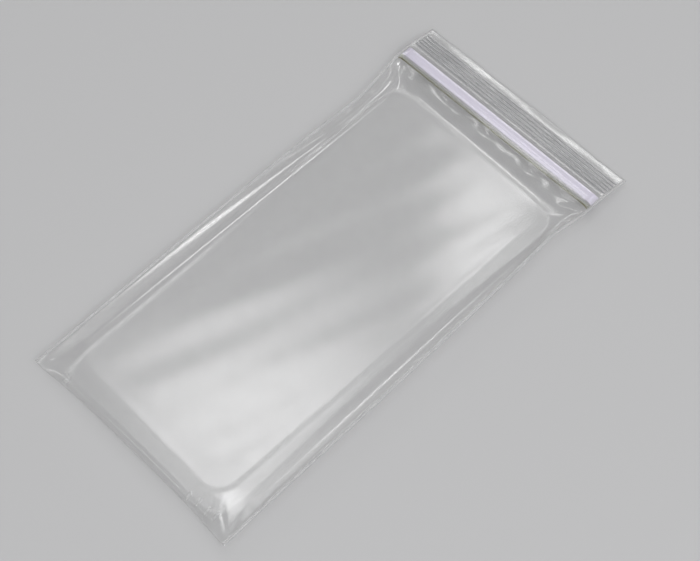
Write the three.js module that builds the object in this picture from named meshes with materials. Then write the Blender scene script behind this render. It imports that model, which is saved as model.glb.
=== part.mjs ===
// A clear film bag with a press-to-close zipper. It lies flat on its back wall, closed, with its pocket filled out
// over a flat slab-shaped room. Millimetres. X runs across the bag, Y from the bottom fold to the mouth, and Z up
// from the surface that it lies on. The origin is under the middle of the bag.

import * as THREE from 'three';

// Overall size, as the filled bag lies
const bagWidth = 94;
const bagLength = 190;
const filmThickness = 0.1;

// Room that the pocket is filled out over, and the loose film left beside it at each end of the bag
const roomHeight = 7.5;
const roomCornerRadius = 11;
const roomEdgeRadius = 2.6;
const leftWingAtFold = 7.4;
const leftWingAtZipper = 10.7;
const rightWingAtFold = 8.5;
const rightWingAtZipper = 5.2;
const roomToFold = 5.6;
const roomToFlange = 7;

// Side welds: a narrow line where both walls are melted together, with a raised bead at the cut edge
const weldWidth = 1;
const weldBeadThickness = 0.5;

// How the edges lie: the height of the bottom fold, and the waist that the film draws in to below the zipper
const foldHeight = 2.8;
const waistDepth = 2.6;
const waistBelowZipper = 24;

// Zipper: two strips between the walls, with a thin flange towards the pocket
const zipperToMouth = 15;
const zipperHeight = 4;
const zipperThickness = 1.6;
const zipperBandWidth = 3.8;
const flangeDrop = 4;
const flangeThickness = 0.15;
const bandThickness = 0.3;
const zipperEndGap = 0.3;
const crushedEndLength = 1.6;

// Press-to-close profile
const stemThickness = 0.5;
const headWidth = 1.1;
const headThickness = 0.5;
const jawThickness = 0.42;
const profileClearance = 0.08;

// Lips above the zipper, with grip ribs pressed out of both walls
const lipGap = 0.4;
const mouthHeight = 1.3;
const lipWaveHeight = 0.5;
const lipWaveLength = 38;
const gripRibCount = 5;
const gripRibPitch = 1.5;
const gripRibWidth = 0.8;
const gripRibHeight = 0.2;
const lastRibToMouth = 3.7;

// Tension creases: ridges that run from the corners of the bag to the corners of the room, with valleys between
// them, and soft swells across the film between the room and the zipper
const creaseRidges = 2;
const creaseHeight = 0.9;
const swellLength = 21;
const swellHeight = 0.4;

// How finely each stretch of film is divided
const wingSteps = 6;
const endSteps = 7;
const cornerSteps = 4;
const middleSteps = 4;
const longMiddleSteps = 6;
const cornerDirections = 6;

const foldY = -bagLength / 2;
const mouthY = bagLength / 2;
const zipperY = mouthY - zipperToMouth;
const bandTopY = zipperY + zipperBandWidth / 2;
const flangeY = zipperY - flangeDrop;
const roomStartY = foldY + roomToFold;
const roomEndY = flangeY - roomToFlange;

const mix = THREE.MathUtils.lerp;
const clamp = THREE.MathUtils.clamp;
const smooth = THREE.MathUtils.smoothstep;

// Outline of the bag, seen from above: the film draws in towards a waist, and the stiff zipper keeps its full width
function seamX(side, y) {
  const waistY = zipperY - waistBelowZipper;
  const drawnIn = y < waistY ? smooth(y, foldY, waistY) ** 2 : 1 - smooth(y, waistY, flangeY);
  return side * (bagWidth / 2 - waistDepth * drawnIn);
}

// Sides of the room. It lies slightly turned in the bag, so the wings widen and narrow along its length
function roomSideX(side, y) {
  const along = (y - roomStartY) / (roomEndY - roomStartY);
  const wing = side < 0
    ? mix(leftWingAtFold, leftWingAtZipper, along)
    : mix(rightWingAtFold, rightWingAtZipper, along);
  return side * (bagWidth / 2 - wing);
}

// Centre of each rounded corner of the room, with the corner of the bag that the film is drawn to
const corners = [];
for (const side of [-1, 1]) {
  for (const end of [-1, 1]) {
    const roomY = end < 0 ? roomStartY : roomEndY;
    const bagY = end < 0 ? foldY + filmThickness : flangeY;
    const bagX = seamX(side, bagY) - side * weldWidth;
    const arcY = roomY - end * roomCornerRadius;
    const arcX = roomSideX(side, arcY) - side * roomCornerRadius;
    corners.push({ side, end, bagX, bagY, arcX, arcY });
  }
}

// Share of the way up from the edge of the bag to the room: 0 at the edges, 1 and more over the room. Each straight
// side pulls the film to one slope, and each corner to a fan of slopes that touch the room's rounded corner
function shareToRoom(x, y) {
  const fromSide = (side) => {
    const seam = seamX(side, y) - side * weldWidth;
    return (x - seam) / (roomSideX(side, y) - seam);
  };
  const fromFold = (y - foldY - filmThickness) / (roomToFold - filmThickness);
  const fromFlange = (flangeY - y) / roomToFlange;
  let share = Math.min(fromSide(-1), fromSide(1), fromFold, fromFlange);
  for (const corner of corners) {
    for (let step = 1; step < cornerDirections; step += 1) {
      const angle = step / cornerDirections * Math.PI / 2;
      const outX = corner.side * Math.cos(angle);
      const outY = corner.end * Math.sin(angle);
      const fromBagCorner = (corner.bagX - x) * outX + (corner.bagY - y) * outY;
      const slopeLength = (corner.bagX - corner.arcX) * outX + (corner.bagY - corner.arcY) * outY - roomCornerRadius;
      share = Math.min(share, fromBagCorner / slopeLength);
    }
  }
  return Math.max(share, 0);
}

// The film bends over the room's rounded edge instead of breaking there
function roundedShare(share) {
  const bend = roomEdgeRadius / (roomToFold + roomToFlange);
  if (share <= 1 - bend) return share;
  if (share >= 1 + bend) return 1;
  return 1 - (1 + bend - share) ** 2 / (4 * bend);
}

// Ridges and valleys that run out of each corner of the bag, highest half way up to the room
function creaseAt(x, y, share) {
  let crease = 0;
  for (const { side, end, bagX, bagY, arcX, arcY } of corners) {
    const across = (bagX - x) / (bagX - arcX);
    const along = (bagY - y) / (bagY - arcY);
    const away = Math.hypot(across, along);
    if (across < 0 || along < 0 || away > 1) continue;
    const angle = Math.atan2(along, across);
    crease += Math.cos(angle * 4 * creaseRidges) * (1 - away);
  }
  return creaseHeight * crease * 4 * share * Math.max(1 - share, 0);
}

// Soft swells across the film between the room and the zipper
function swellAt(x, y, share) {
  const across = x / swellLength * 2 * Math.PI;
  const nearZipper = smooth(y, roomEndY - roomToFlange, roomEndY);
  return swellHeight * Math.cos(across) * nearZipper * 4 * share * Math.max(1 - share, 0);
}

// Height half way between the two walls at the edges of the bag
function middleHeight(x, y) {
  const toZipper = smooth(y, foldY, flangeY);
  const beyondZipper = clamp((y - bandTopY) / (mouthY - bandTopY), 0, 1);
  const wave = Math.sin(x / lipWaveLength * 2 * Math.PI) + Math.sin(x / lipWaveLength * Math.PI + 1);
  return mix(foldHeight, zipperHeight, toZipper)
    + (mouthHeight - zipperHeight) * beyondZipper
    + lipWaveHeight * wave * beyondZipper ** 2 / 2;
}

// Half the gap between the two walls where no room holds them apart
function halfGap(x, y) {
  const fromWeld = seamX(1, y) - weldWidth - Math.abs(x);
  const open = clamp(fromWeld / crushedEndLength, 0, 1);
  const toFlange = clamp((y - roomStartY) / (flangeY - roomStartY), 0, 1);
  const toLip = clamp((y - bandTopY) / (mouthY - lastRibToMouth - gripRibPitch * gripRibCount - bandTopY), 0, 1);
  return open * mix(zipperThickness * toFlange, lipGap, toLip) / 2;
}

// Inner faces of the front wall (wall 1) and of the back wall (wall -1)
function innerHeight(wall, x, y) {
  const share = shareToRoom(x, y);
  const raised = roundedShare(share);
  const roomFace = filmThickness + (wall > 0 ? roomHeight : 0);
  const edge = middleHeight(x, y) + wall * halfGap(x, y);
  const folds = creaseAt(x, y, share) + swellAt(x, y, share);
  return mix(edge, roomFace, raised) + wall * folds * (wall > 0 ? 1 : 0.5);
}

function spread(from, to, steps) {
  return Array.from({ length: steps }, (_, step) => mix(from, to, step / steps));
}

// Stations across the film at one height of the bag: weld, wing, room, wing, weld. The walls part over the length
// that the zipper's ends are crushed to, or over half of a wing that is narrower than that
function stationsAcross(y) {
  const left = seamX(-1, y) + weldWidth;
  const right = seamX(1, y) - weldWidth;
  const roomLeft = roomSideX(-1, y);
  const roomRight = roomSideX(1, y);
  const leftParted = left + Math.min(crushedEndLength, (roomLeft - left) / 2);
  const rightParted = right - Math.min(crushedEndLength, (right - roomRight) / 2);
  return [
    left - weldWidth,
    left,
    ...spread(leftParted, roomLeft, wingSteps),
    ...spread(roomLeft, roomLeft + roomCornerRadius, cornerSteps),
    ...spread(roomLeft + roomCornerRadius, roomRight - roomCornerRadius, middleSteps),
    ...spread(roomRight - roomCornerRadius, roomRight, cornerSteps),
    ...spread(roomRight, rightParted, wingSteps),
    rightParted,
    right,
    right + weldWidth,
  ];
}

// Stations along the film from the bottom fold to the mouth, with the rise of the grip ribs at each
function stationsAlong() {
  const ribsFrom = mouthY - lastRibToMouth - (gripRibCount - 1) * gripRibPitch;
  const flat = [
    ...spread(foldY, roomStartY, endSteps),
    ...spread(roomStartY, roomStartY + roomCornerRadius, cornerSteps),
    ...spread(roomStartY + roomCornerRadius, roomEndY - roomCornerRadius, longMiddleSteps),
    ...spread(roomEndY - roomCornerRadius, roomEndY, cornerSteps),
    ...spread(roomEndY, flangeY, endSteps),
    flangeY,
    bandTopY,
  ];
  const rows = flat.map((y) => ({ y, rise: 0 }));
  for (let rib = 0; rib < gripRibCount; rib += 1) {
    const crest = ribsFrom + rib * gripRibPitch;
    rows.push({ y: crest - gripRibWidth / 2, rise: 0 });
    rows.push({ y: crest, rise: gripRibHeight });
    rows.push({ y: crest + gripRibWidth / 2, rise: 0 });
  }
  rows.push({ y: mouthY, rise: 0 });
  return rows;
}

// One blown tube of film: four skins over one grid of stations, closed at the welds and the fold, open at the mouth
function makeFilmPouch() {
  const rows = stationsAlong();
  const lastRow = rows.length - 1;
  const lastColumn = stationsAcross(0).length - 1;
  const positions = [];
  const triangles = [];
  const indices = new Map();

  function vertex(skin, column, row) {
    const inner = skin === 'frontInner' || skin === 'backInner';
    const shared = inner && (row === 0 || column === 1 || column === lastColumn - 1);
    const key = shared ? `shared ${column} ${row}` : `${skin} ${column} ${row}`;
    if (indices.has(key)) return indices.get(key);
    const wall = skin.startsWith('front') ? 1 : -1;
    const y = rows[row].y + (inner && row === 0 ? filmThickness : 0);
    const x = stationsAcross(rows[row].y)[column];
    const atCut = column === 0 || column === lastColumn;
    const outward = atCut ? weldBeadThickness / 2 : filmThickness + rows[row].rise;
    let z = shared || column < 2 || column > lastColumn - 2 || row === 0
      ? middleHeight(x, y)
      : innerHeight(wall, x, y);
    if (!inner) z += wall * outward;
    indices.set(key, positions.length / 3);
    positions.push(x, y, z);
    return indices.get(key);
  }

  function face(first, ...others) {
    for (let step = 1; step < others.length; step += 1) {
      const [second, third] = [others[step - 1], others[step]];
      if (first !== second && second !== third && third !== first) triangles.push(first, second, third);
    }
  }

  // Each cell is cut along the diagonal that points at the nearest corner of the bag, as the creases do
  function skin(name, firstColumn, endColumn, facesUp) {
    for (let row = 0; row < lastRow; row += 1) {
      for (let column = firstColumn; column < endColumn; column += 1) {
        const quad = [
          vertex(name, column, row),
          vertex(name, column + 1, row),
          vertex(name, column + 1, row + 1),
          vertex(name, column, row + 1),
        ];
        const towardsLeftFold = (column < lastColumn / 2) === (rows[row].y < 0);
        if (!towardsLeftFold) quad.push(quad.shift());
        face(...(facesUp ? quad : quad.reverse()));
      }
    }
  }

  skin('frontOuter', 0, lastColumn, true);
  skin('backOuter', 0, lastColumn, false);
  skin('frontInner', 1, lastColumn - 1, false);
  skin('backInner', 1, lastColumn - 1, true);

  for (let column = 0; column < lastColumn; column += 1) {
    const next = column + 1;
    face(
      vertex('backOuter', column, 0), vertex('backOuter', next, 0),
      vertex('frontOuter', next, 0), vertex('frontOuter', column, 0),
    );
  }
  for (let row = 0; row < lastRow; row += 1) {
    const next = row + 1;
    face(
      vertex('backOuter', 0, next), vertex('backOuter', 0, row),
      vertex('frontOuter', 0, row), vertex('frontOuter', 0, next),
    );
    face(
      vertex('backOuter', lastColumn, row), vertex('backOuter', lastColumn, next),
      vertex('frontOuter', lastColumn, next), vertex('frontOuter', lastColumn, row),
    );
  }
  for (let column = 1; column < lastColumn - 1; column += 1) {
    const next = column + 1;
    face(
      vertex('frontInner', next, lastRow), vertex('frontInner', column, lastRow),
      vertex('frontOuter', column, lastRow), vertex('frontOuter', next, lastRow),
    );
    face(
      vertex('backOuter', next, lastRow), vertex('backOuter', column, lastRow),
      vertex('backInner', column, lastRow), vertex('backInner', next, lastRow),
    );
  }
  const leftWeld = vertex('frontInner', 1, lastRow);
  face(
    leftWeld, vertex('backOuter', 1, lastRow), vertex('backOuter', 0, lastRow),
    vertex('frontOuter', 0, lastRow), vertex('frontOuter', 1, lastRow),
  );
  const rightWeld = vertex('frontInner', lastColumn - 1, lastRow);
  face(
    rightWeld, vertex('frontOuter', lastColumn - 1, lastRow), vertex('frontOuter', lastColumn, lastRow),
    vertex('backOuter', lastColumn, lastRow), vertex('backOuter', lastColumn - 1, lastRow),
  );

  const geometry = new THREE.BufferGeometry();
  geometry.setAttribute('position', new THREE.Float32BufferAttribute(positions, 3));
  geometry.setIndex(triangles);
  geometry.computeVertexNormals();
  return geometry;
}

// A zipper strip: its profile, drawn in Y and Z about the zipper's centre line, drawn out across the bag
function makeStrip(profile) {
  const endX = seamX(1, flangeY) - weldWidth - crushedEndLength - zipperEndGap;
  const shape = new THREE.Shape(profile.map(([y, z]) => new THREE.Vector2(y, z)));
  const geometry = new THREE.ExtrudeGeometry(shape, { depth: 2 * endX, bevelEnabled: false });
  const alongX = new THREE.Matrix4().makeBasis(
    new THREE.Vector3(0, 1, 0), new THREE.Vector3(0, 0, 1), new THREE.Vector3(1, 0, 0),
  );
  geometry.applyMatrix4(alongX);
  geometry.translate(-endX, zipperY, zipperHeight);
  return geometry;
}

const halfStack = zipperThickness / 2;
const halfBand = zipperBandWidth / 2;
const baseLevel = halfStack - bandThickness;
const flangeLevel = halfStack - flangeThickness;
const headBottom = -baseLevel + profileClearance;
const headTop = headBottom + headThickness;
const hookBottom = headTop + profileClearance;
const hookTop = baseLevel - profileClearance;

// Strip on the front wall: a base with an arrow-shaped rib that points into the bag
function makeRibStrip() {
  return makeStrip([
    [halfBand, halfStack],
    [-flangeDrop, halfStack],
    [-flangeDrop, flangeLevel],
    [-halfBand, flangeLevel],
    [-halfBand, baseLevel],
    [-stemThickness / 2, baseLevel],
    [-stemThickness / 2, headTop],
    [-headWidth / 2, headTop],
    [-stemThickness / 2, headBottom],
    [stemThickness / 2, headBottom],
    [headWidth / 2, headTop],
    [stemThickness / 2, headTop],
    [stemThickness / 2, baseLevel],
    [halfBand, baseLevel],
  ]);
}

// Strip on the back wall: a base with two hooked jaws that hold the arrow's head
function makeGrooveStrip() {
  const mouthHalf = stemThickness / 2 + profileClearance;
  const cavityHalf = headWidth / 2 + profileClearance;
  const jawHalf = cavityHalf + jawThickness;
  return makeStrip([
    [-flangeDrop, -halfStack],
    [halfBand, -halfStack],
    [halfBand, -baseLevel],
    [jawHalf, -baseLevel],
    [jawHalf, hookBottom],
    [cavityHalf, hookTop],
    [mouthHalf, hookTop],
    [mouthHalf, hookBottom],
    [cavityHalf, hookBottom],
    [cavityHalf, -baseLevel],
    [-cavityHalf, -baseLevel],
    [-cavityHalf, hookBottom],
    [-mouthHalf, hookBottom],
    [-mouthHalf, hookTop],
    [-cavityHalf, hookTop],
    [-jawHalf, hookBottom],
    [-jawHalf, -baseLevel],
    [-halfBand, -baseLevel],
    [-halfBand, -flangeLevel],
    [-flangeDrop, -flangeLevel],
  ]);
}

const clearFilm = new THREE.MeshStandardMaterial({
  color: '#e9edf0', roughness: 0.12, metalness: 0, transparent: true, opacity: 0.3,
});
const ribPlastic = new THREE.MeshStandardMaterial({ color: '#e6e4ee', roughness: 0.3, metalness: 0 });
const groovePlastic = new THREE.MeshStandardMaterial({ color: '#dddbe8', roughness: 0.3, metalness: 0 });

const bag = new THREE.Group();
const pieces = [
  ['film_pouch', makeFilmPouch(), clearFilm],
  ['zipper_rib_strip', makeRibStrip(), ribPlastic],
  ['zipper_groove_strip', makeGrooveStrip(), groovePlastic],
];
for (const [name, geometry, material] of pieces) {
  const mesh = new THREE.Mesh(geometry, material);
  mesh.name = name;
  bag.add(mesh);
}

export default bag;
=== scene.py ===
"""A clear film bag with a press-to-close zipper, lying closed on a pale floor.

Lengths in the numbers below are millimetres; Blender's objects are metres, in the frame's own axes.
X runs across the bag, Y from the bottom fold to the mouth, Z up from the floor.
"""

import math

import bmesh
import bpy
import numpy as np
from mathutils import Matrix, Vector


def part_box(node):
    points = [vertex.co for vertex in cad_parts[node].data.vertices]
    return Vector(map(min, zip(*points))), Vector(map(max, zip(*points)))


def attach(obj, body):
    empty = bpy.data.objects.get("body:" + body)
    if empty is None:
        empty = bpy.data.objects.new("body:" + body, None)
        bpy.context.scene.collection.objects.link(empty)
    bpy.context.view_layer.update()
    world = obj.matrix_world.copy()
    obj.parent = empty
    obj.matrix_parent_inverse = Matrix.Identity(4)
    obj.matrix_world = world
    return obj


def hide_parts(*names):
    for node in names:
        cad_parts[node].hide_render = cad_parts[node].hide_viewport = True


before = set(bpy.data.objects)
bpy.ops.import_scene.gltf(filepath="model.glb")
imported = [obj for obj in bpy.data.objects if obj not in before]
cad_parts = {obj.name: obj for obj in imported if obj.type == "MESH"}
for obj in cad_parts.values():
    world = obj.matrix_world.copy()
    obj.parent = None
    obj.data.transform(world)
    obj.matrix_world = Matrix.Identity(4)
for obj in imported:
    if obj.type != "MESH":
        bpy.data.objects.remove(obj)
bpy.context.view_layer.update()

MM = 0.001

# Where the frame has the bag and its zipper, half the closed zipper's thickness, and the heights of fold and mouth
pouch_low, pouch_high = (np.array(corner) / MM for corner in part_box("film_pouch"))
strip_low, strip_high = (np.array(corner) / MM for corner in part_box("zipper_rib_strip"))
FOLD_Y, MOUTH_Y = pouch_low[1], pouch_high[1]
FLANGE_Y, BAND_TOP_Y = strip_low[1], strip_high[1]
HALF_STACK = 0.8
ZIPPER_Y = MOUTH_Y - 15.0
ZIPPER_Z = strip_high[2] - HALF_STACK
FOLD_Z, MOUTH_Z = 2.8, 1.3

# Film thickness, welds, and the film's own width and length between the welds, the fold and the zipper
FILM = 0.1
HALF_WIDTH = (pouch_high[0] - pouch_low[0]) / 2
WELD_WIDTH = 1.0
ZIPPER_END = HALF_WIDTH - WELD_WIDTH
FLAT_WIDTH = 92.0
FLAT_LENGTH = 171.8
# How far each side is drawn in, and how far along the bag
WAISTS = {-1: (3.1, 54.0), 1: (2.4, 60.0)}
# A weld's bead: distance out from the weld's inner edge, and how far the film's middle stands from the seam there
BEAD = ((1.0, 0.0), (0.93, 0.12), (0.76, 0.2), (0.5, 0.17), (0.24, 0.09))

# The slab-shaped room that the pocket is filled out over: middle, turn, size, and radii of its corners and edges
ROOM_MIDDLE = (1.13, -10.22)
ROOM_TURN = math.radians(-1.19)
ROOM_SIZE = (78.1, 158.4, 7.5)
ROOM_CORNER, ROOM_EDGE = 11.0, 3.0

# Rows, columns, steps and stiffness of each net that the film is relaxed on
COARSE_NET, MIDDLE_NET, FINE_NET = (41, 23, 800, 0.06), (81, 45, 500, 0.06), (161, 89, 600, 0.05)
# How far from the welds, the fold and the zipper the first net reaches the room's height
WELD_SLOPE, FOLD_SLOPE, ZIPPER_SLOPE = 8.0, 5.6, 7.0
# Outward drift and weight, for each step and each millimetre between the net's columns
DRIFT, WEIGHT = 0.001, 0.0006
# How much of a stretch and of a squeeze is set right at each step, along the net's threads and on its diagonals
THREAD_PULL, DIAGONAL_PULL = (1.0, 0.9), (0.6, 0.5)
# How much the welds are pulled to their line and the film down into a dimple
WELD_PULL, DIMPLE_PULL = 0.02, 0.5
# Speed that film keeps when free and when it lies on the room, and the most that it may have, in column spacings
SPEED_KEPT, SPEED_KEPT_ON_ROOM, MOST_SPEED = 0.92, 0.6, 0.3

# Dimples that hold the front wall down: place in plan, height at the middle, rise per millimetre outwards, reach
DIMPLES = ((-19.0, 72.6, 4.5, 0.7, 3.2), (-38.5, 57.0, 5.2, 0.5, 3.0))
# Small pleats that stand up at the bottom end: place in plan, half width, length along the bag, height
PLEATS = (
    (-33.5, -92.2, 1.2, 3.0, 0.8), (26.5, -91.8, 1.2, 3.0, 0.6), (30.8, -91.2, 1.2, 4.2, 0.9),
    (35.2, -91.8, 1.2, 4.0, 0.8), (38.4, -90.4, 1.2, 3.4, 0.6),
)
# Share of a pleat's half width and of its length where its film takes the weld's hazy material as a painted highlight
PLEAT_HIGHLIGHT_WIDTH, PLEAT_HIGHLIGHT_LENGTH = 0.5, 0.36
# Soft waves of the front wall, each with its share of x and y, length, height and phase: over the room, between the
# room and the zipper, and in the loose film beside the room near the waist
ROOM_WAVES = ((0.86, -0.5, 27.0, 0.05, 0.5), (0.95, -0.3, 15.0, 0.03, 2.0))
ZIPPER_WAVES = ((1.0, 0.12, 19.0, 0.28, 1.1), (1.0, -0.2, 11.5, 0.17, 0.4))
WING_WAVES = ((0.55, 1.0, 31.0, 0.13, 0.3), (-0.4, 1.0, 17.0, 0.08, 2.0))
# Distances over which they come in from the room's edge, inwards and outwards, and go before the weld
ROOM_WAVES_INWARD, WING_WAVES_OUTWARD, WING_WAVES_WELD = (1.0, 14.0), (0.5, 3.5), (42.5, 46.0)
# Where along the bag they start, are full, begin to fade and end
ZIPPER_WAVES_SPAN = (FLANGE_Y - 9.0, FLANGE_Y - 5.0, FLANGE_Y - 3.5, FLANGE_Y)
WING_WAVES_SPAN = (12.0, 40.0, 56.0, 66.0)
# Lift that keeps the waves' troughs off the room
WAVES_LIFT = 0.08
# Tension creases that run from the bag's corners to the room's: both ends in plan, half width at the room, height
CREASES = (
    (-45.6, 75.8, -34.4, 66.0, 1.8, 0.8), (-46.2, 56.6, -41.2, 62.2, 1.5, 0.55), (-45.8, 52.0, -39.6, 47.0, 1.5, 0.4),
    (45.0, 75.6, 36.6, 70.8, 1.7, 0.65), (45.0, 75.2, 42.8, 63.0, 1.6, 0.6),
    (-46.0, -94.2, -35.6, -87.6, 1.9, 0.7), (-46.0, -93.4, -43.2, -81.0, 1.6, 0.45),
    (46.0, -94.4, 35.4, -86.4, 2.0, 1.0), (46.0, -93.6, 43.4, -80.0, 1.6, 0.5),
)
# Share of a crease's width that it has at the bag's corner
CREASE_START = 0.4

# Zipper profile, about its centre line: the band's half width, the rise of its rounded back and the level of its inner
# side; the flange's inner level, and its edge's length and added thickness; how far down each flange reaches
HALF_BAND, BAND_CROWN = 1.9, 0.2
BASE, FLANGE_LEVEL, FLANGE_EDGE, FLANGE_THICKENING = 0.5, 0.65, 0.32, 0.1
FRONT_FLANGE_DROP, BACK_FLANGE_DROP = 4.0, 3.1
# The arrow's stem and head and the jaws that hold it: half widths across, and levels about the centre line
STEM, HEAD, HEAD_BOTTOM, HEAD_TOP = 0.25, 0.55, -0.42, 0.08
JAW_MOUTH, JAW_CAVITY, JAW_BACK, HOOK_BOTTOM, HOOK_TOP = 0.33, 0.63, 1.05, 0.16, 0.42
# Cut off every corner of the profile
CORNER_BEVEL = 0.05

# Zipper ends: length that is pressed flat, the strips' distance from the weld, how much wider the plastic is there, and
# cross-sections along an end as shares of its length, with one more further in
CRUSHED_END, STRIP_END_GAP, STRIP_END_SPREAD = 1.6, 0.15, 0.06
STRIP_END_SECTIONS, NEXT_SECTION = (0, 0.12, 0.3, 0.55, 0.8, 1.0), 6.0
# Air between a strip and the film that it is bonded to
STRIP_CLEAR = 0.02
# Grip ribs: number, spacing, width and height, and the last one's distance from the mouth
RIB_COUNT, RIB_PITCH, RIB_WIDTH, RIB_HEIGHT, LAST_RIB = 5, 1.5, 0.8, 0.2, 3.7
# Share of a rib's height above which a face belongs to its crest, which gets a painted highlight, or to its flank,
# which gets painted shade
CREST_SHARE, FLANK_SHARE = 0.8, 0.5
# The lips' common wave: length, and height at the mouth
LIP_WAVE, LIP_WAVE_HEIGHT = 38.0, 0.25
# Small ripples of each lip: length, share of their height, phase, and what the back lip's phase has more
LIP_RIPPLES, LIP_RIPPLE_HEIGHT = ((12.5, 0.5, 0.6, 1.0), (7.7, 0.35, 0.0, 2.1)), 0.05
# Half the gap between the lips: the least, what it gains towards the mouth, and the length of its wave
LIP_GAP, LIP_GAP_GAIN, LIP_GAP_WAVE = 0.12, 0.1, 29.0
# Distance from the weld over which the gap and the ribs grow, and from the band over which the lips' gap takes over
LIP_GAP_END, RIB_END, LIP_START = 4.0, 1.2, 1.4
# Rows of the film's net: between the first two of the pocket, above the flange's edge, over the band and up each rib
# as shares of half their width, above the band, and before the mouth
FOLD_ROWS, FLANGE_ROWS = (0.14, 0.45), (0.5, 1.3)
BAND_ROWS = (-1, -0.7, -0.35, 0, 0.35, 0.7, 1)
RIB_ROWS = (-1, -0.6, -0.25, 0.25, 0.6, 1)
ABOVE_BAND_ROWS = (0.25, 0.55, 0.95, 1.4, 2.0)
MOUTH_ROWS = (2.7, 2.0, 1.3, 0.6, 0.0)

# The camera's azimuth, elevation and roll in degrees, its place in millimetres and its lens
CAMERA_ANGLES = (49.83, 61.1, -4.884)
CAMERA_PLACE = (257.81, -211.91, 597.59)
CAMERA_LENS, CAMERA_SENSOR = 102.86, 36
# The floor's radius, and how far it lies under the bag, so that film and floor never share a plane
FLOOR_RADIUS, FLOOR_BELOW = 3000.0, 0.04


def smooth(value, start, end):
    """0 before start, 1 past end, and a smooth change between them."""
    share = np.clip((value - start) / (end - start), 0, 1)
    return share * share * (3 - 2 * share)


def span(value, start, full, fading, end):
    """1 from full to fading, 0 outside start and end, and smooth changes between them."""
    return smooth(value, start, full) * (1 - smooth(value, fading, end))


def weld_x(side, y):
    """Place of a weld's inner edge across the bag: the film draws in to a waist under the stiff zipper."""
    y = np.asarray(y, float)
    depth, waist_y = WAISTS[side]
    below = np.clip((y - FOLD_Y) / (waist_y - FOLD_Y), 0, 1) ** 3
    above = np.clip((FLANGE_Y - y) / (FLANGE_Y - waist_y), 0, 1)
    return side * (ZIPPER_END - depth * np.minimum(below, above))


# The film is relaxed over the room, from a coarse net to a fine one

def room_gap(points):
    """Signed distance from the room's rounded slab, the direction that leads away from it, and the distance in plan."""
    cos, sin = math.cos(ROOM_TURN), math.sin(ROOM_TURN)
    dx, dy = points[..., 0] - ROOM_MIDDLE[0], points[..., 1] - ROOM_MIDDLE[1]
    across, along = cos * dx + sin * dy, -sin * dx + cos * dy
    half = ROOM_SIZE[2] / 2
    height = points[..., 2] - (FILM + half)
    past_x = np.abs(across) - (ROOM_SIZE[0] / 2 - ROOM_CORNER)
    past_y = np.abs(along) - (ROOM_SIZE[1] / 2 - ROOM_CORNER)
    out_x, out_y = np.maximum(past_x, 0), np.maximum(past_y, 0)
    out = np.hypot(out_x, out_y)
    plan = np.minimum(np.maximum(past_x, past_y), 0) + out - ROOM_CORNER
    safe = np.maximum(out, 1e-9)
    toward_x = np.where(out > 1e-9, out_x / safe, (past_x > past_y) * 1.0) * np.sign(across)
    toward_y = np.where(out > 1e-9, out_y / safe, (past_x <= past_y) * 1.0) * np.sign(along)
    beside, above = plan + ROOM_EDGE, np.abs(height) - half + ROOM_EDGE
    side, top = np.maximum(beside, 0), np.maximum(above, 0)
    bend = np.hypot(side, top)
    distance = np.minimum(np.maximum(beside, above), 0) + bend - ROOM_EDGE
    safe = np.maximum(bend, 1e-9)
    level = np.where(bend > 1e-9, side / safe, (beside > above) * 1.0)
    upright = np.where(bend > 1e-9, top / safe, (beside <= above) * 1.0) * np.sign(height)
    away = np.stack([
        level * (cos * toward_x - sin * toward_y),
        level * (sin * toward_x + cos * toward_y),
        upright,
    ], axis=-1)
    return distance, away, plan


def pull(points, first, second, length, stretch, squeeze):
    """Brings pairs of points towards their flat distance."""
    step = points[second] - points[first]
    far = np.sqrt((step * step).sum(-1, keepdims=True))
    off = (far - length) / np.maximum(far, 1e-9)
    step *= np.where(off > 0, stretch, squeeze) * off / 2
    points[first] += step
    points[second] -= step


ACROSS, ALONG, DIAGONAL = range(3)


def pairs(rows, columns):
    """Neighbours across, along and on both diagonals, in sets that share no point."""
    every = slice(None)
    found = []
    for odd in (0, 1):
        left, right = slice(odd, columns - 1, 2), slice(odd + 1, columns, 2)
        low, high = slice(odd, rows - 1, 2), slice(odd + 1, rows, 2)
        found.append(((every, every, left), (every, every, right), ACROSS))
        found.append(((every, low, every), (every, high, every), ALONG))
    for odd_row in (0, 1):
        for odd in (0, 1):
            low, high = slice(odd_row, rows - 1, 2), slice(odd_row + 1, rows, 2)
            left, right = slice(odd, columns - 1, 2), slice(odd + 1, columns, 2)
            found.append(((every, low, left), (every, high, right), DIAGONAL))
            found.append(((every, low, right), (every, high, left), DIAGONAL))
    return found


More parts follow.
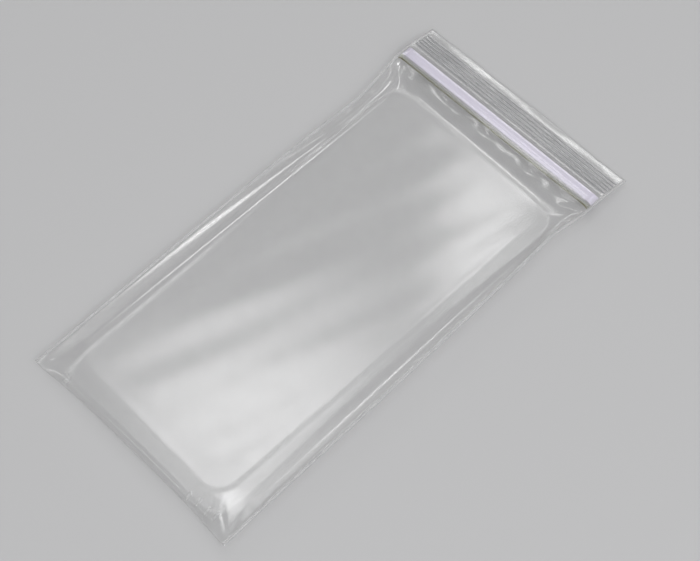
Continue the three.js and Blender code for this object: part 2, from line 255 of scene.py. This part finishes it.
def relax(points, steps, stiffness):
    """Lets both walls settle: held at the zipper, welded at the sides, folded at the bottom, on floor and room."""
    rows, columns = points.shape[1:3]
    across, along = FLAT_WIDTH / (columns - 1), FLAT_LENGTH / (rows - 1)
    lengths = (across, along, math.hypot(across, along))
    drift, weight = DRIFT * across, WEIGHT * across
    sets = pairs(rows, columns)
    speed = np.zeros_like(points)
    held = points[:, -1].copy()
    for _ in range(steps):
        before = points.copy()
        points += speed
        points[..., 2] -= weight
        points[:, :, 0, 0] -= drift
        points[:, :, -1, 0] += drift
        points[:, 0, :, 1] -= drift
        for first, second, kind in sets:
            stretch, squeeze = DIAGONAL_PULL if kind == DIAGONAL else THREAD_PULL
            pull(points, first, second, lengths[kind], stretch, squeeze)
        for axis in (1, 2):
            line = np.moveaxis(points, axis, 0)
            bend = stiffness * ((line[:-2] + line[2:]) / 2 - line[1:-1])
            line[1:-1] += bend
            line[:-2] -= bend / 2
            line[2:] -= bend / 2
        y = points[0, :, 0, 1]
        weld_z = FOLD_Z + (ZIPPER_Z - FOLD_Z) * np.clip((y - FOLD_Y) / (FLANGE_Y - FOLD_Y), 0, 1)
        for column, side in ((0, -1), (-1, 1)):
            points[:, :, column, 0] += WELD_PULL * (weld_x(side, y) - points[:, :, column, 0])
            points[:, :, column, 2] += WELD_PULL * (weld_z - points[:, :, column, 2])
            points[:, :, column] = points[:, :, column].mean(0, keepdims=True)
        points[:, 0] = points[:, 0].mean(0, keepdims=True)
        points[:, -1] = held
        distance, away, _ = room_gap(points)
        deep = np.maximum(FILM / 2 - distance, 0)
        points += deep[..., None] * away
        for x, y, height, slope, reach in DIMPLES:
            far = np.hypot(points[0, ..., 0] - x, points[0, ..., 1] - y)
            over = (points[0, ..., 2] - height - slope * far) * (far < reach)
            points[0, ..., 2] -= DIMPLE_PULL * np.maximum(over, 0)
        points[..., 2] = np.maximum(points[..., 2], FILM / 2)
        crossed = np.maximum(points[1, ..., 2] + FILM - points[0, ..., 2], 0) / 2
        crossed[0] = crossed[:, 0] = crossed[:, -1] = 0
        points[0, ..., 2] += crossed
        points[1, ..., 2] -= crossed
        speed = (points - before) * SPEED_KEPT
        speed[deep > 0] *= SPEED_KEPT_ON_ROOM
        speed = np.clip(speed, -MOST_SPEED * across, MOST_SPEED * across)
    return points


def first_net(rows, columns):
    """Both walls before they settle: straight slopes from the edges of the bag up and down to the room."""
    u, v = np.meshgrid(np.linspace(-1, 1, columns), np.linspace(0, 1, rows))
    y = FOLD_Y + v * (FLANGE_Y - FOLD_Y)
    x = u * ZIPPER_END
    share = np.minimum((y - FOLD_Y) / FOLD_SLOPE, (FLANGE_Y - y) / ZIPPER_SLOPE)
    share = np.minimum(np.minimum((ZIPPER_END - np.abs(x)) / WELD_SLOPE, share), 1)
    middle = FOLD_Z + (ZIPPER_Z - FOLD_Z) * v
    points = np.zeros((2, rows, columns, 3))
    for wall, height in ((0, ROOM_SIZE[2] + 1.5 * FILM), (1, FILM / 2)):
        points[wall] = np.stack([x, y, middle + (height - middle) * share], axis=-1)
        points[wall, -1, :, 2] = ZIPPER_Z + (1 - 2 * wall) * zipper_gap(points[wall, -1, :, 0])
    return points


def finer(points, rows, columns):
    """The same walls on a finer net."""
    for axis, count in ((1, rows), (2, columns)):
        at = np.linspace(0, points.shape[axis] - 1, count)
        low = np.minimum(at.astype(int), points.shape[axis] - 2)
        share = (at - low).reshape([-1 if i == axis else 1 for i in range(4)])
        points = np.take(points, low, axis) * (1 - share) + np.take(points, low + 1, axis) * share
    return points


def relaxed_walls():
    """Both walls as they settle on three nets, each finer than the one before."""
    rows, columns, steps, stiffness = COARSE_NET
    points = relax(first_net(rows, columns), steps, stiffness)
    rows, columns, steps, stiffness = MIDDLE_NET
    points = relax(finer(points, rows, columns), steps, stiffness)
    rows, columns, steps, stiffness = FINE_NET
    points = finer(points, rows, columns)
    return relax(points, steps, stiffness)


# Zipper zone and lips

def zipper_gap(x):
    """Half the distance between the walls' middles over the zipper, which closes where its ends are crushed."""
    open_share = np.clip((ZIPPER_END - np.abs(x)) / CRUSHED_END, 0, 1)
    return open_share * (HALF_STACK + STRIP_CLEAR + FILM / 2)


def crown(y):
    """Rise of the zipper band's rounded back, in the film over it too."""
    return BAND_CROWN * np.clip(1 - ((np.asarray(y) - ZIPPER_Y) / HALF_BAND) ** 2, 0, 1)


def lip_stations():
    """Distance along the film and rise of the grip ribs, from just above the flange's edge to the mouth."""
    rows = [(FLANGE_Y + step, 0.0) for step in FLANGE_ROWS]
    rows += [(y, 0.0) for y in ZIPPER_Y + HALF_BAND * np.array(BAND_ROWS)]
    rows += [(BAND_TOP_Y + step, 0.0) for step in ABOVE_BAND_ROWS]
    first = MOUTH_Y - LAST_RIB - (RIB_COUNT - 1) * RIB_PITCH
    for rib in range(RIB_COUNT):
        for part in RIB_ROWS:
            rise = RIB_HEIGHT * math.cos(part * math.pi / 2) ** 2
            rows.append((first + rib * RIB_PITCH + part * RIB_WIDTH / 2, rise))
    rows += [(MOUTH_Y - step, 0.0) for step in MOUTH_ROWS]
    return rows


def lip_points(x, y, rise, wall):
    """One row across a wall above the flange's edge. The lips droop towards the floor, wave and part a little."""
    sign = 1 - 2 * wall
    beyond = np.clip((y - BAND_TOP_Y) / (MOUTH_Y - BAND_TOP_Y), 0, 1)
    droop = (beyond + beyond * beyond * (3 - 2 * beyond)) / 2
    wave = np.sin(x / LIP_WAVE * 2 * math.pi) + np.sin(x / LIP_WAVE * math.pi + 1)
    ripples = sum(
        share * np.sin(x / length * 2 * math.pi + phase + wall * back_phase)
        for length, share, phase, back_phase in LIP_RIPPLES)
    middle = ZIPPER_Z + (MOUTH_Z - ZIPPER_Z) * droop
    middle = middle + LIP_WAVE_HEIGHT * wave * beyond ** 2 + LIP_RIPPLE_HEIGHT * ripples * beyond
    inside = ZIPPER_END - np.abs(x)
    parted = LIP_GAP + LIP_GAP_GAIN * beyond * (1 + np.sin(x / LIP_GAP_WAVE * 2 * math.pi + 2))
    lip = FILM / 2 + parted * np.clip(inside / LIP_GAP_END, 0, 1)
    zipper = zipper_gap(x) + crown(y) * np.clip(inside / CRUSHED_END, 0, 1)
    gap = zipper + (lip - zipper) * smooth(y, BAND_TOP_Y, BAND_TOP_Y + LIP_START)
    rib = rise * np.clip(inside / RIB_END, 0, 1)
    z = middle + sign * (gap + rib)
    return np.stack([x, np.full_like(x, y), np.maximum(z, FILM / 2 + (1 - wall) * FILM)], axis=-1)


# Nodes and materials

def linear(hex_colour):
    """A colour written as sRGB, as the linear colour that Blender takes."""
    parts = [int(hex_colour[i:i + 2], 16) / 255 for i in (1, 3, 5)]
    return [c / 12.92 if c <= 0.04045 else ((c + 0.055) / 1.055) ** 2.4 for c in parts] + [1.0]


def add(tree, kind, inputs=None, **settings):
    """Adds a node. inputs maps a socket's name or number to a value or to the socket that feeds it."""
    node = tree.nodes.new(kind)
    for name, value in settings.items():
        setattr(node, name, value)
    for key, value in (inputs or {}).items():
        socket = node.inputs[key]
        if isinstance(value, bpy.types.NodeSocket):
            tree.links.new(value, socket)
        else:
            socket.default_value = value
    return node


def new_material(name):
    """An empty material and its node tree."""
    material = bpy.data.materials.new(name)
    material.use_nodes = True
    material.node_tree.nodes.clear()
    return material, material.node_tree


def clear_ldpe_film(name, haze, tint, roughness=0.1):
    """Blown low-density polyethylene film: glossy and clear, a little milky, with faint lines along the tube."""
    material, tree = new_material(name)
    place = add(tree, "ShaderNodeTexCoord").outputs["Object"]
    # Die lines run along the tube, 1.5 mm apart and some 30 mm long
    lines = add(tree, "ShaderNodeMapping", {"Vector": place, "Scale": (1 / (1.5 * MM), 1 / (30 * MM), 1 / (8 * MM))})
    line_noise = add(tree, "ShaderNodeTexNoise", {"Vector": lines.outputs[0], "Scale": 1.0, "Detail": 2.0})
    # Soft unevenness of a cooled film, about 7 mm across
    cloud = add(tree, "ShaderNodeTexNoise", {"Vector": place, "Scale": 1 / (7 * MM), "Detail": 2.0})
    height = add(tree, "ShaderNodeMath", {0: line_noise.outputs[0], 1: 0.25}, operation="MULTIPLY")
    both = add(tree, "ShaderNodeMath", {0: height.outputs[0], 1: cloud.outputs[0]}, operation="ADD")
    bump = add(tree, "ShaderNodeBump", {"Strength": 0.35, "Distance": 0.015 * MM, "Height": both.outputs[0]})
    # Each face mirrors 4% of what it meets head on, and nearly all at a grazing angle
    facing = add(tree, "ShaderNodeLayerWeight", {"Blend": 0.5, "Normal": bump.outputs[0]})
    grazing = add(tree, "ShaderNodeMath", {0: facing.outputs["Facing"], 1: 5.0}, operation="POWER")
    mirror = add(tree, "ShaderNodeMath", {0: grazing.outputs[0], 1: 0.96, 2: 0.045}, operation="MULTIPLY_ADD")
    # A sharper and a softer reflection together give the film's glow round each highlight
    white = linear("#ffffff")
    sharp = add(tree, "ShaderNodeBsdfGlossy", {"Color": white, "Roughness": roughness, "Normal": bump.outputs[0]})
    soft = add(tree, "ShaderNodeBsdfGlossy", {"Color": white, "Roughness": 0.32, "Normal": bump.outputs[0]})
    shine = add(tree, "ShaderNodeMixShader", {0: 0.4, 1: sharp.outputs[0], 2: soft.outputs[0]})
    through = add(tree, "ShaderNodeBsdfTransparent", {"Color": linear(tint)})
    milk = add(tree, "ShaderNodeBsdfDiffuse", {"Color": linear("#f4f4f4"), "Roughness": 0.0})
    cloudy = add(tree, "ShaderNodeMapRange", {
        "Value": cloud.outputs[0], "From Min": 0.3, "From Max": 0.7, "To Min": haze * 0.7, "To Max": haze * 1.3,
    })
    body = add(tree, "ShaderNodeMixShader", {0: cloudy.outputs[0], 1: through.outputs[0], 2: milk.outputs[0]})
    film = add(tree, "ShaderNodeMixShader", {0: mirror.outputs[0], 1: body.outputs[0], 2: shine.outputs[0]})
    add(tree, "ShaderNodeOutputMaterial", {"Surface": film.outputs[0]})
    return material


def milky_ldpe_profile(name, colour):
    """Extruded zipper profile: milky polyethylene with a lilac tint, smooth, with fine drawn lines along it."""
    material, tree = new_material(name)
    place = add(tree, "ShaderNodeTexCoord").outputs["Object"]
    # Drawn lines along the strip, 0.4 mm apart
    drawn = add(tree, "ShaderNodeMapping", {"Vector": place, "Scale": (1 / (40 * MM), 1 / (0.4 * MM), 1 / (0.4 * MM))})
    noise = add(tree, "ShaderNodeTexNoise", {"Vector": drawn.outputs[0], "Scale": 1.0, "Detail": 2.0})
    shade = add(tree, "ShaderNodeMix", {
        0: noise.outputs[0], 6: linear(colour), 7: linear("#ffffff"),
    }, data_type="RGBA", blend_type="MULTIPLY")
    bump = add(tree, "ShaderNodeBump", {"Strength": 0.3, "Distance": 0.03 * MM, "Height": noise.outputs[0]})
    plastic = add(tree, "ShaderNodeBsdfPrincipled", {
        "Base Color": shade.outputs[2], "Roughness": 0.32, "IOR": 1.51, "Normal": bump.outputs[0],
        "Subsurface Weight": 0.5, "Subsurface Radius": (1.2 * MM, 1.2 * MM, 1.3 * MM), "Subsurface Scale": 1.0,
    })
    add(tree, "ShaderNodeOutputMaterial", {"Surface": plastic.outputs[0]})
    return material


def matt_paper(name, colour):
    """Uncoated paper: one even colour with no gloss."""
    material, tree = new_material(name)
    paper = add(tree, "ShaderNodeBsdfPrincipled", {"Base Color": linear(colour), "Roughness": 0.9})
    add(tree, "ShaderNodeOutputMaterial", {"Surface": paper.outputs[0]})
    return material


# Pieces

def make_object(name, mesh_maker, materials):
    """Finishes a bmesh as a smooth-shaded object at the origin."""
    mesh = bpy.data.meshes.new(name)
    mesh_maker.to_mesh(mesh)
    mesh_maker.free()
    for material in materials:
        mesh.materials.append(material)
    for polygon in mesh.polygons:
        polygon.use_smooth = True
    piece = bpy.data.objects.new(name, mesh)
    bpy.context.scene.collection.objects.link(piece)
    return piece


def wall_with_beads(wall_points, wall):
    """Adds the welds' beads to both edges of a wall, and the height that parts the walls at the weld."""
    sign = 1 - 2 * wall
    closed = np.ones(len(wall_points))
    closed[0] = closed[-1] = 0
    beads = {}
    for edge, side in ((0, -1), (-1, 1)):
        seam = wall_points[:, edge]
        bead = np.repeat(seam[:, None], len(BEAD), axis=1)
        for column, (out, half) in enumerate(BEAD):
            bead[:, column, 0] += side * out
            bead[:, column, 2] += sign * half * closed
        beads[side] = bead
    inner = wall_points.copy()
    inner[1:, (0, -1), 2] += sign * FILM / 2
    inner[-1, (0, -1), 2] -= sign * FILM / 2
    return np.concatenate([beads[-1], inner, beads[1][:, ::-1]], axis=1)


def small_forms(front):
    """Height that the front wall gains from its soft waves, the pleats at the fold and the tension creases."""
    _, _, plan = room_gap(front)
    x, y = front[..., 0], front[..., 1]

    def waves(kinds):
        return sum(
            height * np.sin((x * share_x + y * share_y) / length * 2 * math.pi + phase)
            for share_x, share_y, length, height, phase in kinds)

    rise = smooth(-plan, *ROOM_WAVES_INWARD) * (waves(ROOM_WAVES) + WAVES_LIFT)
    rise += span(y, *ZIPPER_WAVES_SPAN) * waves(ZIPPER_WAVES)
    wings = smooth(plan, *WING_WAVES_OUTWARD) * (1 - smooth(np.abs(x), *WING_WAVES_WELD))
    rise += wings * span(y, *WING_WAVES_SPAN) * waves(WING_WAVES)
    for pleat_x, pleat_y, half_width, length, height in PLEATS:
        across = np.clip(1 - np.abs(x - pleat_x) / half_width, 0, 1)
        along = np.clip(1 - (np.abs(y - pleat_y) / (length / 2)) ** 2, 0, 1)
        rise += height * across * along
    for start_x, start_y, end_x, end_y, half_width, height in CREASES:
        length = math.hypot(end_x - start_x, end_y - start_y)
        step_x, step_y = (end_x - start_x) / length, (end_y - start_y) / length
        along = np.clip(((x - start_x) * step_x + (y - start_y) * step_y) / length, 0, 1)
        aside = np.abs((y - start_y) * step_x - (x - start_x) * step_y)
        crest = np.sqrt(4 * along * (1 - along))
        reach = half_width * (CREASE_START + (1 - CREASE_START) * along)
        rise += height * crest * np.clip(1 - aside / reach, 0, 1)
    # The edges stay where both walls meet
    rise[0] = rise[-1] = 0
    rise[:, (0, -1)] = 0
    return rise


def make_film(materials):
    """The whole pouch: one skin that goes across the front wall and back across the back wall, fold to mouth."""
    walls = relaxed_walls()
    walls[0, ..., 2] += small_forms(walls[0])
    u = np.linspace(-1, 1, walls.shape[2])
    skins = []
    for wall in (0, 1):
        pocket = walls[wall]
        near_fold = [pocket[0] * (1 - share) + pocket[1] * share for share in FOLD_ROWS]
        x = u * ZIPPER_END
        lips = [lip_points(x, y, rise, wall) for y, rise in lip_stations()]
        skins.append(wall_with_beads(np.array([pocket[0], *near_fold, *pocket[1:], *lips]), wall))
    skins[1] = skins[1][:, ::-1]
    around = np.concatenate(skins, axis=1)
    rows, columns = around.shape[:2]
    maker = bmesh.new()
    bmesh.ops.create_grid(maker, x_segments=columns - 1, y_segments=rows - 1, size=1.0)
    maker.verts.ensure_lookup_table()
    for vertex, place in zip(maker.verts, around.reshape(-1, 3)):
        vertex.co = place * MM
    bead_columns = len(BEAD)
    rises = [0.0] * (walls.shape[1] + len(FOLD_ROWS)) + [rise for _, rise in lip_stations()]
    steps = list(enumerate(zip(rises, rises[1:])))
    # Rows of the ribs' crests, which get a painted highlight, and of their flanks, which get painted shade
    crest_highlight_rows = {row for row, ends in steps if min(ends) > CREST_SHARE * RIB_HEIGHT}
    flank_shade_rows = {row for row, ends in steps if max(ends) > FLANK_SHARE * RIB_HEIGHT} - crest_highlight_rows
    width = walls.shape[2]
    # Materials in turn: clear film; hazy weld bead and pleat faces, with a painted highlight; rib crest, with a painted
    # highlight; rib flank, with painted shade
    for face in maker.faces:
        column = min(corner.index for corner in face.verts) % columns
        place = column if column < columns // 2 else columns - 2 - column
        row = min(corner.index for corner in face.verts) // columns
        # Weld faces take the hazy material, partly their own haze and partly a painted highlight; pleat faces take it
        # as a painted highlight
        welded = not bead_columns <= place < bead_columns + width - 1
        middle = face.calc_center_median() / MM
        pleat_highlight = column < columns // 2 and any(
            abs(middle.x - pleat_x) < PLEAT_HIGHLIGHT_WIDTH * half_width
            and abs(middle.y - pleat_y) < PLEAT_HIGHLIGHT_LENGTH * length
            for pleat_x, pleat_y, half_width, length, _ in PLEATS)
        face.material_index = 1 if welded or pleat_highlight else 2 if row in crest_highlight_rows else 3 if row in flank_shade_rows else 0
    bmesh.ops.remove_doubles(maker, verts=maker.verts, dist=1e-6)
    piece = make_object("pouch_film", maker, materials)
    wall_thickness = piece.modifiers.new("film thickness", "SOLIDIFY")
    wall_thickness.thickness = FILM * MM
    wall_thickness.offset = 0
    wall_thickness.use_rim = True
    return piece


BAND_BACK = [
    (HALF_BAND * part, HALF_STACK + BAND_CROWN * (1 - part * part)) for part in reversed(BAND_ROWS)
]


def flange(drop):
    """Corners of a flange, from the band's outer back round its thickened edge to the band's inner side."""
    return (
        (FLANGE_EDGE - drop, HALF_STACK), (-drop, HALF_STACK), (-drop, FLANGE_LEVEL - FLANGE_THICKENING),
        (FLANGE_EDGE - drop, FLANGE_LEVEL), (-HALF_BAND, FLANGE_LEVEL),
    )


RIB_PROFILE = (
    *BAND_BACK, *flange(FRONT_FLANGE_DROP),
    (-HALF_BAND, BASE), (-STEM, BASE), (-STEM, HEAD_TOP), (-HEAD, HEAD_TOP), (-STEM, HEAD_BOTTOM),
    (STEM, HEAD_BOTTOM), (HEAD, HEAD_TOP), (STEM, HEAD_TOP), (STEM, BASE), (HALF_BAND, BASE),
)
JAW = (
    (JAW_BACK, -BASE), (JAW_BACK, HOOK_BOTTOM), (JAW_CAVITY, HOOK_TOP), (JAW_MOUTH, HOOK_TOP),
    (JAW_MOUTH, HOOK_BOTTOM), (JAW_CAVITY, HOOK_BOTTOM), (JAW_CAVITY, -BASE),
)
GROOVE_PROFILE = (
    *((y, -z) for y, z in (*BAND_BACK, *flange(BACK_FLANGE_DROP))),
    (-HALF_BAND, -BASE), *((-y, z) for y, z in JAW), *reversed(JAW), (HALF_BAND, -BASE),
)


def make_strip(name, profile, drop, materials):
    """A zipper strip: its profile drawn out across the bag, pressed flat at both ends where it is welded in."""
    last = ZIPPER_END - STRIP_END_GAP
    stations = [last - part * CRUSHED_END for part in STRIP_END_SECTIONS]
    stations += [ZIPPER_END - CRUSHED_END - NEXT_SECTION]
    stations += [-station for station in reversed(stations)]
    stations.reverse()
    maker = bmesh.new()
    corners = [maker.verts.new((0, y, z)) for y, z in profile]
    maker.faces.new(corners)
    bmesh.ops.bevel(
        maker, geom=maker.verts[:], offset=CORNER_BEVEL, segments=2, affect="VERTICES", profile=0.5, material=-1)

    def press(vertices, x):
        """Sets a cross-section at its place, pressed flat and a little wider near the ends."""
        open_share = min(max((ZIPPER_END - abs(x)) / CRUSHED_END, 0), 1)
        spread = 1 + STRIP_END_SPREAD * (1 - open_share)
        for vertex, shape in zip(vertices, order):
            vertex.co = (x * MM, (ZIPPER_Y + shape.y * spread) * MM, (ZIPPER_Z + shape.z * open_share) * MM)

    face = maker.faces[:][0]
    order = [vertex.co.copy() for vertex in face.verts]
    press(face.verts, stations[0])
    for x in stations[1:]:
        face = bmesh.ops.extrude_discrete_faces(maker, faces=[face])["faces"][0]
        press(face.verts, x)
    bmesh.ops.holes_fill(maker, edges=[edge for edge in maker.edges if edge.is_boundary], sides=0)
    bmesh.ops.recalc_face_normals(maker, faces=maker.faces[:])
    # Materials in turn: profile, flange, flange's edge with its painted shade
    for face in maker.faces:
        below = ZIPPER_Y - face.calc_center_median().y / MM
        face.material_index = 0 if below < HALF_BAND + 0.1 else 1 if below < drop - FLANGE_EDGE else 2
    return make_object(name, maker, materials)


# Camera, floor and lights

def softbox(name, direction, distance, width, height, radiance):
    """A plain rectangular soft light that faces the bag, brightest in its middle and dim at its edges."""
    lamp = bpy.data.lights.new(name, "AREA")
    lamp.shape = "RECTANGLE"
    lamp.size, lamp.size_y = width, height
    lamp.energy = radiance * math.pi * width * height
    lamp.use_nodes = True
    tree = lamp.node_tree
    tree.nodes.clear()
    place = add(tree, "ShaderNodeSeparateXYZ", {0: add(tree, "ShaderNodeNewGeometry").outputs["Parametric"]})
    waves = [
        add(tree, "ShaderNodeMath", {
            0: add(tree, "ShaderNodeMath", {0: share, 1: math.pi}, operation="MULTIPLY").outputs[0],
        }, operation="SINE").outputs[0]
        for share in place.outputs[:2]
    ]
    level = add(tree, "ShaderNodeMath", {0: waves[0], 1: waves[1]}, operation="MULTIPLY", use_clamp=True)
    glow = add(tree, "ShaderNodeEmission", {"Strength": level.outputs[0]})
    add(tree, "ShaderNodeOutputLight", {"Surface": glow.outputs[0]})
    box = bpy.data.objects.new(name, lamp)
    aim = Vector(direction).normalized()
    box.location = aim * distance
    box.rotation_euler = aim.to_track_quat("Z", "Y").to_euler()
    bpy.context.scene.collection.objects.link(box)


def make_camera():
    """The photograph's viewing angle, for a picture 700 wide and 561 high."""
    azimuth, elevation, roll = (math.radians(angle) for angle in CAMERA_ANGLES)
    back = Vector((
        math.sin(azimuth) * math.cos(elevation),
        -math.cos(azimuth) * math.cos(elevation),
        math.sin(elevation),
    ))
    camera = bpy.data.objects.new("camera", bpy.data.cameras.new("camera"))
    camera.data.sensor_width = CAMERA_SENSOR
    camera.data.lens = CAMERA_LENS
    camera.data.clip_start, camera.data.clip_end = 0.01, 50
    turned = back.to_track_quat("Z", "Y").to_matrix().to_4x4() @ Matrix.Rotation(roll, 4, "Z")
    camera.matrix_world = Matrix.Translation(Vector(CAMERA_PLACE) * MM) @ turned
    bpy.context.scene.collection.objects.link(camera)
    bpy.context.scene.camera = camera


def make_floor(material):
    """A wide round floor just under the bag."""
    maker = bmesh.new()
    bmesh.ops.create_circle(maker, cap_ends=True, segments=96, radius=FLOOR_RADIUS * MM)
    bmesh.ops.translate(maker, vec=(0, 0, -FLOOR_BELOW * MM), verts=maker.verts)
    make_object("floor", maker, [material])


make_camera()
make_floor(matt_paper("pale_grey_paper_matt", "#bfbfc0"))

# The studio is bright overhead and dimmer towards the horizon
world = bpy.data.worlds.new("studio")
world.use_nodes = True
world.node_tree.nodes.clear()
up = add(world.node_tree, "ShaderNodeSeparateXYZ", {
    0: add(world.node_tree, "ShaderNodeTexCoord").outputs["Generated"],
}).outputs[2]
level = add(world.node_tree, "ShaderNodeMapRange", {
    "Value": up, "From Min": 0.0, "From Max": 0.9, "To Min": 0.3, "To Max": 0.5,
})
air = add(world.node_tree, "ShaderNodeBackground", {"Color": linear("#f4f4f4"), "Strength": level.outputs[0]})
add(world.node_tree, "ShaderNodeOutputWorld", {"Surface": air.outputs[0]})
bpy.context.scene.world = world
bpy.context.scene.cycles.transparent_max_bounces = 32
bpy.context.scene.view_settings.view_transform = "Standard"

# Each light's direction from the bag, distance, width, height and radiance
softbox("key softbox", (-0.34, 0.18, 0.92), 1.2, 0.36, 0.26, 3.6)
softbox("strip light", (-0.3, 0.4, 0.86), 1.25, 0.12, 0.32, 4.0)
softbox("lip light", (-0.3, 0.72, 0.62), 1.2, 0.5, 0.26, 4.5)
softbox("left light", (-0.88, 0.3, 0.38), 1.2, 0.4, 0.3, 8.0)
softbox("overhead fill", (0.55, -0.25, 0.8), 1.6, 1.8, 1.8, 4.2)

# Blown film: clear and glossy, with only a breath of milkiness
film_material = clear_ldpe_film("clear_ldpe_blown_film", 0.022, "#fdfdfd")
# Film melted together in the side welds: a hazy line round the bag, partly the melted film's own haze and partly a
# painted highlight along the bead. On the pleats at the fold the same haze is a painted highlight
weld_haze_and_highlight_material = clear_ldpe_film("melted_ldpe_weld_haze_and_painted_highlight", 0.14, "#f7f7f7")
# Extruded strips: milky with a lilac tint, the back one a little darker
rib_material = milky_ldpe_profile("milky_ldpe_rib_profile", "#dcd7e9")
groove_material = milky_ldpe_profile("milky_ldpe_groove_profile", "#d4cfe3")
# Grip ribs pressed into the lips: each shows as a fine line. Its crest is made hazy as a painted highlight, and its
# flanks are tinted grey as painted shade
rib_crest_highlight_material = clear_ldpe_film("ldpe_grip_rib_crest_painted_highlight", 0.45, "#fafafa", 0.3)
rib_flank_shade_material = clear_ldpe_film("ldpe_grip_rib_flank_painted_shade", 0.04, "#c6c6ca", 0.3)
# Flanges: nearly clear, each with a trimmed edge painted dark olive, a painted shade for the dark line along the thick
# clear edge
flange_material = clear_ldpe_film("clear_ldpe_zipper_flange", 0.05, "#f9faf6")
flange_edge_shade_material = milky_ldpe_profile("trimmed_ldpe_flange_edge_painted_shade", "#605d3e")

pouch_film = make_film([film_material, weld_haze_and_highlight_material, rib_crest_highlight_material, rib_flank_shade_material])
rib_strip = make_strip(
    "rib_strip", RIB_PROFILE, FRONT_FLANGE_DROP, [rib_material, flange_material, flange_edge_shade_material])
groove_strip = make_strip(
    "groove_strip", GROOVE_PROFILE, BACK_FLANGE_DROP, [groove_material, flange_material, flange_edge_shade_material])

for piece, node, slot in (
    (pouch_film, "film_pouch", "clear_film"),
    (rib_strip, "zipper_rib_strip", "zipper_plastic"),
    (groove_strip, "zipper_groove_strip", "zipper_plastic"),
):
    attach(piece, "root")
    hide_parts(node)
